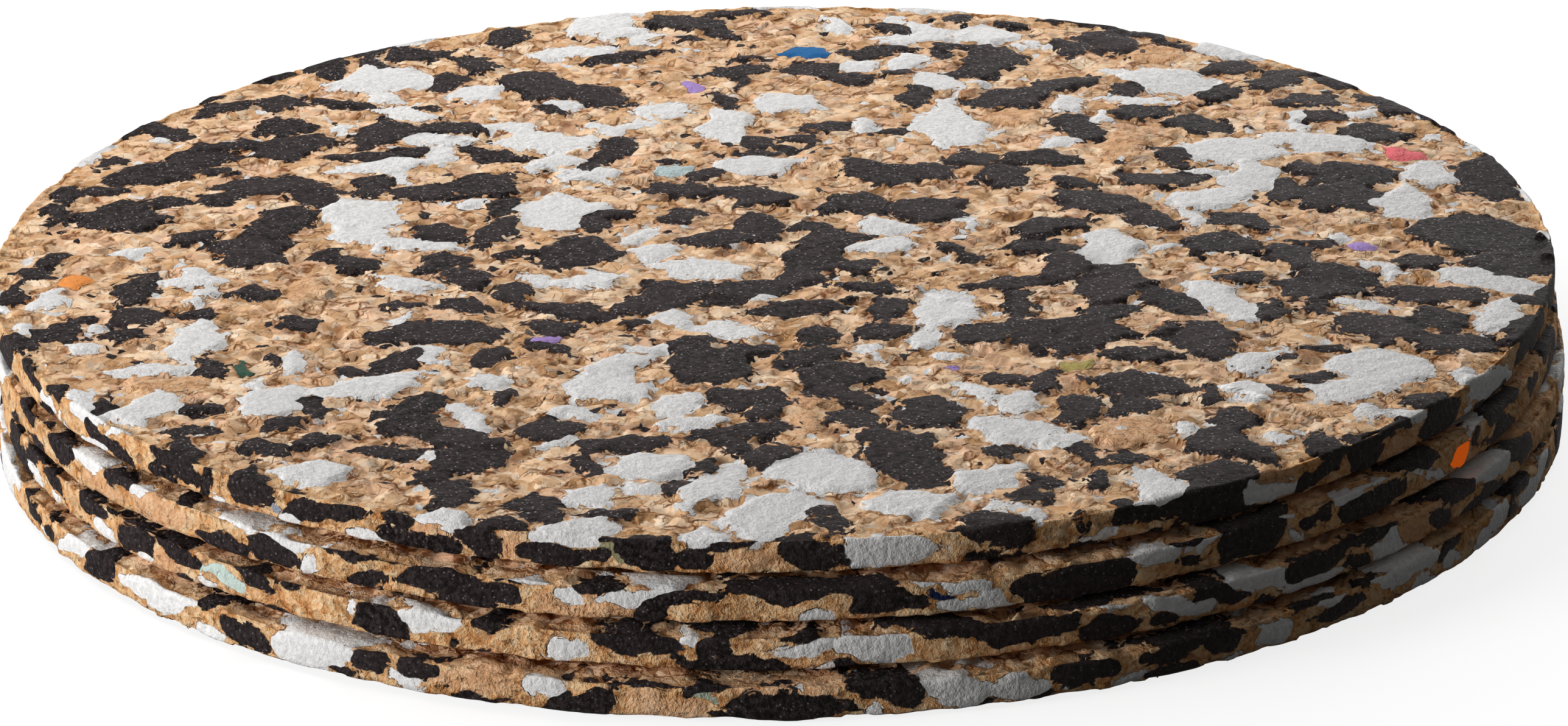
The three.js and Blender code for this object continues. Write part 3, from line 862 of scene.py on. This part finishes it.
        (1.8, -12.3, 6.6, 3, 10), (7, -12.7, 4.4, 2.7, 80), (-6.8, 16.3, 2.4, 1.4, -20),
        (-10, -2.2, 2.6, 1.2, 55), (21.4, 6.8, 5.4, 4.8, -30), (25.8, 11, 6.2, 3.2, -5),
        (17.9, 2.1, 5.2, 3.3, 28), (24.4, 3, 4.8, 3.2, -70), (19.6, 10.5, 3.2, 2.4, -40),
        (26.8, 15.4, 4.2, 2.8, -70), (12, -2.4, 4, 1.8, -60), (40.5, 19.3, 5.8, 4, -25),
        (38.8, 10.8, 6, 4.6, -20), (37.2, 6.8, 6.2, 4.6, -60), (33.7, 8, 4.8, 2.6, 80),
        (35, 12.2, 2.6, 2.2, -30), (47.2, 10.2, 7.6, 4, 85), (45.4, -1.4, 9.2, 7.6, -10),
        (47, -7, 6.4, 4.6, 10), (41.2, -5.8, 3.6, 2.8, 20), (30.4, 2.2, 5.2, 3.4, -45),
        (28.6, -1.8, 4.8, 3.6, -20), (33, -4.6, 6, 3.2, -70), (35, -2.2, 2.8, 2, 0),
        (18.6, -6, 5.6, 3.6, 82), (22, -7.4, 4.8, 3.8, -70), (17.1, -1.8, 4.9, 3.2, -17),
        (29.6, -8.2, 3.6, 2.4, 0), (35.8, -8.2, 5, 3.6, -30), (15.1, -8.4, 5.9, 1.8, 9),
        (21.1, -9.2, 6.7, 4.4, 75), (15.4, -12.2, 4.8, 2.4, 75), (20.8, -14.2, 4.4, 3.2, 60),
        (17.9, -17.8, 7.6, 6, 40), (13, -17.4, 5.2, 4, 50), (24.8, -12.4, 5.6, 3.6, -50),
        (26.6, -19.2, 6.8, 4.4, 75), (22.5, -21.2, 5, 2.2, -8), (24, -17, 2.6, 1.4, 50),
        (31.1, -14.3, 4.8, 2.2, -85), (34.2, -10.4, 5.8, 4.4, -15), (34, -13.6, 3.6, 2, -70),
        (41.2, -11.8, 6.4, 3.2, -15), (37, -17.4, 6.2, 4.8, -35), (41, -16, 5.4, 3.6, -60),
        (42, -20.3, 6, 4, -10), (46.4, -17.8, 6, 2.6, 70), (47.2, -13, 2.2, 1.6, 0),
        (21.8, -26.3, 6.2, 3.8, -15), (17.9, -30.1, 5.2, 2.6, 85), (21.4, -29.9, 3.8, 3.2, -30),
        (26, -28.2, 3.6, 1.6, 75), (27.2, -32.4, 4.8, 2.8, 75), (26.2, -36, 5, 3.4, 80),
        (25.8, -41, 5.4, 3.6, -10), (28.5, -38.2, 3, 2, -60), (32.2, -36.8, 4.2, 2.2, -70),
        (31.4, -22.6, 2.8, 1.8, -60), (33, -25.8, 2.6, 2, 20), (33.4, -20.6, 3, 1.2, -20),
        (14, -24.8, 3.6, 1.8, -10), (16.3, -25.8, 3.6, 1.8, 80), (30.8, -27.6, 2.6, 1.8, 0),
        (13.5, -36.8, 2.8, 2.2, 0), (18.3, -37.2, 3.4, 1.6, -70), (20.8, -38.4, 3, 2.2, 0),
        (39, -30, 3, 2, 0), (15.5, -41.2, 3.2, 1.8, -60), (18.8, -41.6, 3, 1.8, 60),
        (14.6, -43.8, 3, 2.2, 0), (-7.5, -11.4, 5, 3.2, 20), (-3, -10.8, 3, 1.8, 0),
        (-13, -11.6, 5.4, 3, -15), (2.6, -17, 4, 2.6, 85), (7, -16.8, 4, 3.2, 10),
        (-4.2, -21.5, 8, 5.6, -70), (-1.4, -19.2, 3, 2.4, 0), (2.6, -20.8, 4.8, 3.2, 0),
        (3.8, -24, 5.4, 3.8, 15), (4.2, -27, 4.6, 3, -50), (-1.6, -27.5, 4.6, 3.4, 20),
        (-0.4, -29.6, 3.4, 1.8, 60), (9.2, -30.2, 6.6, 4.4, -75), (4.6, -31.2, 4, 3.2, -30),
        (-2.2, -32.8, 6, 3, 5), (-8, -34.4, 4.8, 2.2, 5), (-13.4, -32.2, 4.8, 3.4, -50),
        (-10.8, -34.8, 3, 2.2, -60), (7.6, -37.6, 9.4, 4.8, -75), (-0.2, -37, 4.8, 3.6, 50),
        (-2.6, -35.2, 3, 2, -60), (-18, -36.6, 5, 3.8, 45), (-19, -33.4, 4, 2.6, 0),
        (-4.2, -38.6, 3.6, 1.2, 65), (-5.8, -41.4, 2.6, 1.8, 60), (-10.8, -38, 3.6, 1.8, -60),
        (-13.4, -44.2, 4.4, 3.4, -70), (-10, -45.2, 3.6, 1.6, -5), (-16, -47, 3.2, 2, 10),
        (-18.8, -41.9, 4.6, 2.8, 85), (2.5, -46.3, 4.6, 2.4, -70), (-7.8, -49.4, 3.4, 1.4, 0),
        (13.2, -47.6, 5, 3.6, -30), (14.5, -43, 3, 1.6, 70), (-17.6, -20.2, 3.4, 1.9, 80),
        (-16.4, -27.2, 3, 1.5, 85), (-13.8, -18.6, 3.2, 1.6, -30), (-14, -14.8, 4.2, 2.4, -30),
        (-8.6, -14.6, 2.2, 1.6, 20), (-33.4, -1.6, 4, 3.4, 0), (-26.6, -2.7, 4.4, 3, -60),
        (-28.6, -0.8, 2.4, 1.8, 0), (-21.3, -2.8, 4.4, 2.6, 60), (-19.8, -5.4, 4.4, 2.8, -60),
        (-16.5, -1.6, 2.6, 2, 0), (-40.3, -6.6, 6.2, 2.8, 75), (-39.8, -11.6, 4, 3.2, 50),
        (-36, -11.3, 3.2, 2, 0), (-32.5, -8, 3.6, 2.6, -60), (-16.2, -8.2, 5, 2.5, 85),
        (-19.2, -10.9, 4.2, 2.4, -40), (-23.6, -10.6, 2.6, 1.8, 0), (-20.4, -15.2, 7.6, 4.6, -10),
        (-24, -16.2, 2.8, 2.2, 0), (-23, -20.2, 4.4, 3, 70), (-29.8, -13.2, 3.4, 2.4, -55),
        (-44.5, -14.6, 4, 3, -50), (-40, -14.9, 2.8, 2.4, 0), (-47.2, -3.6, 3, 2.2, 0),
        (-46.4, -1.4, 3, 1.8, 85), (-47.9, -7, 5, 1.4, 80), (-43.2, -12, 2.2, 1.4, 40),
        (-46, -16.3, 3, 1.2, -80), (-34.2, -20.8, 3.6, 2, -55), (-30.7, -19.8, 3.4, 1.2, 85),
        (-26, -21.8, 2.6, 1.8, -50), (-27.8, -28, 4.8, 2.4, -70), (-29.2, -30.6, 3.4, 2.2, 30),
        (-34.5, -27.4, 2.6, 2, 25), (-40.5, -26.9, 2.8, 1.1, 85), (-21.2, -27.2, 4.2, 3.2, 50),
        (-21.8, -30.8, 5.2, 4, -50), (-18.6, -33.4, 5.8, 3, -35), (-35, -31.4, 3.8, 1.6, 5),
        (-35, -34.4, 4.6, 1.8, -80), (-30.2, -34.2, 3.8, 3, -60), (-26.7, -32.9, 3.8, 2.2, -10),
        (-22.8, -35.2, 4, 1.8, -10), (-30.7, -38.4, 4.2, 1.8, 80), (-20.3, -39.3, 2.6, 2, 0),
    ],
    TAN: [
        (-37, -23.5, 6.5, 3, -5), (23.5, 17.5, 5.5, 4, 80), (21, -34, 6, 4.5, 30), (33, -31, 4, 2.5, -20),
        (1.8, -28.5, 3.2, 2.6, -50), (1.6, -32, 4.5, 2.2, 88), (-29.2, -7.2, 4, 4, 0),
        (27, 37.2, 4.5, 4, -30), (17, 24.2, 4, 3.5, -40),
    ],
}
top_rim = {
    WHITE: [
        (208, 0.95, 4.2, 0.45, -7), (212.8, 2.3, 3.6, 1.5, 0), (214, 0.3, 4.4, 0.8, 10),
        (217.8, 2.1, 2.6, 0.6, 30), (229, 0.3, 1.8, 0.7, 0), (235.4, 0.25, 1.8, 0.7, 0),
        (242, 0.4, 2.8, 0.9, 0), (247.6, 2.25, 2, 1.1, -15), (256, 2.35, 4, 0.9, 0),
        (265.3, 2.5, 2.8, 0.5, 0), (277.5, 1.25, 5.5, 2.2, 0), (287.3, 0.3, 1.6, 0.3, 0),
        (291.8, 0.85, 2.7, 0.6, -3), (296.3, 2.4, 3, 0.9, 0), (304, 1.2, 6, 1.2, -12),
        (318, 2.5, 4.4, 0.5, 0), (326.6, 0.6, 1.7, 0.6, -20), (330, 1.3, 6.4, 1.6, -8),
        (334, 0.4, 1.6, 0.9, 0),
    ],
    BLACK: [
        (204, 2, 4, 1.3, -15), (208.9, 1.95, 2.6, 1, 10), (200.6, 0.3, 1.5, 0.8, 0),
        (207.6, 0.3, 2.4, 0.6, 15), (216, 1.05, 5.4, 1.1, -8), (223, 0.65, 2, 1, 0),
        (225.5, 1.6, 4, 1.7, -5), (228, 1.1, 1.2, 1.9, 0), (231.9, 1.6, 3.6, 2.1, 10),
        (235.5, 2.45, 3, 0.6, 5), (238.2, 1.4, 5.8, 1.3, 10), (244, 2, 2.3, 1.3, 0),
        (245.5, 0.7, 5.4, 1, 0), (250.2, 1.2, 2.6, 2.1, 0), (251.5, 2.5, 3, 0.5, 0), (256, 1, 5, 1.4, 0),
        (259, 2.2, 2, 0.5, 0), (261.7, 1.5, 4.3, 2, 0), (264.7, 1, 2, 1.4, 0), (267.3, 2.1, 4.6, 0.6, 0),
        (272.5, 1.3, 3.6, 2, 0), (285.3, 1.9, 5.2, 1.6, -8), (284, 0.35, 4.4, 0.9, 0),
        (290, 0.25, 3.4, 0.7, 0), (290.6, 1.7, 1.1, 1.1, 0), (293.5, 1.9, 2.2, 1.6, 0),
        (297.5, 1.5, 4.5, 1, -8), (301, 1.8, 5.5, 2, -5), (300, 0.5, 6, 1, 0), (303.5, 0.4, 3.4, 0.7, -8),
        (310, 1.2, 4.6, 0.9, 14), (314, 1.3, 3.2, 2.4, 0), (318, 2.1, 5.4, 0.9, 0),
        (322.7, 1.2, 5.4, 2.3, 0), (328.8, 0.4, 2, 0.8, 0), (332, 0.3, 2, 0.6, 0), (340.5, 1.3, 7.5, 2, 0),
    ],
    TAN: [
        (247, 1.4, 3, 1, -15), (252.4, 1.2, 1.4, 1.9, 0), (268.3, 1, 5, 1.3, -5), (306, 2, 2.6, 1.4, -15),
        (317.5, 0.7, 3.6, 1.6, 0),
    ],
}
BLUE, PURPLE, ORANGE = (0.02, 0.14, 0.36), (0.45, 0.30, 0.66), (0.97, 0.35, 0.09)
top_flecks = [
    ("face", (2.8, 38.8, 3, 2.6, 0), BLUE),
    ("face", (-44.4, -5, 2.9, 2.2, 90), ORANGE),
    ("face", (-9.1, 33.3, 1.8, 1.2, 0), (0.88, 0.45, 0.22)),
    ("face", (-5.4, 32, 2.8, 1.2, -70), PURPLE),
    ("face", (37.6, -2.9, 2, 2, 0), PURPLE),
    ("face", (-14.1, -17, 2.2, 1.1, 60), PURPLE),
    ("face", (10.6, -23.4, 1.4, 0.7, 0), PURPLE),
    ("face", (42, 14.9, 3.6, 1.8, -35), (0.87, 0.18, 0.20)),
    ("face", (-6.6, 14.2, 2.6, 2.4, 0), (0.55, 0.66, 0.66)),
    ("face", (-32.5, -20.7, 3.2, 0.9, -70), (0.06, 0.13, 0.09)),
    ("face", (18.3, -22.8, 2.5, 1.5, 0), (0.50, 0.40, 0.13)),
    ("rim", (259.4, 1.3, 2, 1.3, -30), (0.34, 0.31, 0.17)),
    ("rim", (234.2, 0.8, 1.2, 0.9, 0), (0.30, 0.33, 0.40)),
]
coaster("top_coaster", 74, top_rim, top_flecks, top_face)

# The table that the stack stands on, a plain white sheet just under the bottom coaster.
# The camera sees it white, with the shadow of the stack close by, and plain white further off. To the
# stack it is dark grey, so that it throws little light up at the rims.
TABLE_SIDE, TABLE_DROP = 3.0, 0.0001
SHADOW_ENDS, PLAIN_FROM = 0.11, 0.22
WHITE_LIGHT = (1, 1, 1, 1)
bpy.ops.mesh.primitive_plane_add(size=TABLE_SIDE, location=(0, 0, -TABLE_DROP))
table = bpy.context.object
table.name = "table"
table_top = bpy.data.materials.new("pale_table")
table_top.use_nodes = True
tree = table_top.node_tree
tree.nodes.clear()


def seen_directly():
    """1 for what the camera sees, also in a shine or through glass, and 0 for what only gives light."""
    path = put("ShaderNodeLightPath")
    seen = maths("MAXIMUM", path.outputs["Is Camera Ray"], path.outputs["Is Glossy Ray"])
    return maths("MAXIMUM", seen, path.outputs["Is Transmission Ray"])


bounce = put("ShaderNodeBsdfDiffuse", {"Color": (0.10, 0.10, 0.10, 1)})
lit = put("ShaderNodeBsdfDiffuse", {"Color": (0.32, 0.32, 0.32, 1)})
own_white = put("ShaderNodeEmission", {"Color": WHITE_LIGHT, "Strength": 0.82})
close_by = put("ShaderNodeAddShader", {0: lit.outputs[0], 1: own_white.outputs[0]})
further_off = put("ShaderNodeEmission", {"Color": WHITE_LIGHT, "Strength": 1.0})
from_middle = put("ShaderNodeTexCoord").outputs["Object"]
away = put("ShaderNodeVectorMath", {0: from_middle}, operation="LENGTH").outputs["Value"]
away = ranged(away, SHADOW_ENDS, PLAIN_FROM, 0.0, 1.0)
shown = put("ShaderNodeMixShader", {0: away, 1: close_by.outputs[0], 2: further_off.outputs[0]})
both = put("ShaderNodeMixShader", {0: seen_directly(), 1: bounce.outputs[0], 2: shown.outputs[0]})
put("ShaderNodeOutputMaterial", {"Surface": both.outputs[0]})
table.data.materials.append(table_top)

# The studio round it: a white backdrop that gives only a little light, and three soft lamps, one low on
# the left in front, one low behind on the right and one overhead behind.
world = bpy.data.worlds.new("studio")
bpy.context.scene.world = world
world.use_nodes = True
tree = world.node_tree
tree.nodes.clear()
surround = put("ShaderNodeBackground", {"Color": WHITE_LIGHT, "Strength": 0.10})
backdrop = put("ShaderNodeBackground", {"Color": WHITE_LIGHT, "Strength": 1.0})
both = put("ShaderNodeMixShader", {0: seen_directly(), 1: surround.outputs[0], 2: backdrop.outputs[0]})
put("ShaderNodeOutputWorld", {"Surface": both.outputs[0]})


def soft_lamp(name, bearing, elevation, distance, level):
    """A square softbox aimed at the stack. Level is about how bright a white card facing it would be: the
    power of a flat lamp that gives that light is level times pi squared times the distance squared."""
    side, aim_height = 0.14, 0.008
    turn, rise = np.radians([bearing, elevation])
    way = Vector((np.cos(turn) * np.cos(rise), np.sin(turn) * np.cos(rise), np.sin(rise)))
    lamp = bpy.data.lights.new(name, "AREA")
    lamp.size = side
    lamp.energy = level * np.pi**2 * distance**2
    holder = bpy.data.objects.new(name, lamp)
    holder.location = way * distance + Vector((0, 0, aim_height))
    holder.rotation_euler = way.to_track_quat("Z", "Y").to_euler()
    holder.visible_camera = False
    bpy.context.scene.collection.objects.link(holder)


soft_lamp("left_softbox", 207, 10.5, 0.42, 0.88)
soft_lamp("back_softbox", 68, 11, 0.24, 0.84)
soft_lamp("overhead_softbox", 142, 52, 0.18, 0.58)

# The camera, a long lens low in front of the stack, as a fit to the outlines in the photograph gives it.
# It looks down by the rise, in degrees, and is turned about its own axis by the roll.
view = bpy.data.cameras.new("camera")
view.sensor_width = 36.0
view.lens = 141.7
aim = Vector((0.00025, 0.0035, 0.00135))
distance = 0.4
rise, roll = np.radians([21.03, -1.02])
back = Vector((0, -np.cos(rise), np.sin(rise)))
right = Vector((1, 0, 0))
up = back.cross(right)
rolled_right = right * np.cos(roll) + up * np.sin(roll)
rolled_up = up * np.cos(roll) - right * np.sin(roll)
stand = bpy.data.objects.new("camera", view)
turned = Matrix((rolled_right, rolled_up, back)).transposed().to_4x4()
stand.matrix_world = Matrix.Translation(aim + back * distance) @ turned
bpy.context.scene.collection.objects.link(stand)
bpy.context.scene.camera = stand
bpy.context.scene.view_settings.view_transform = "Standard"
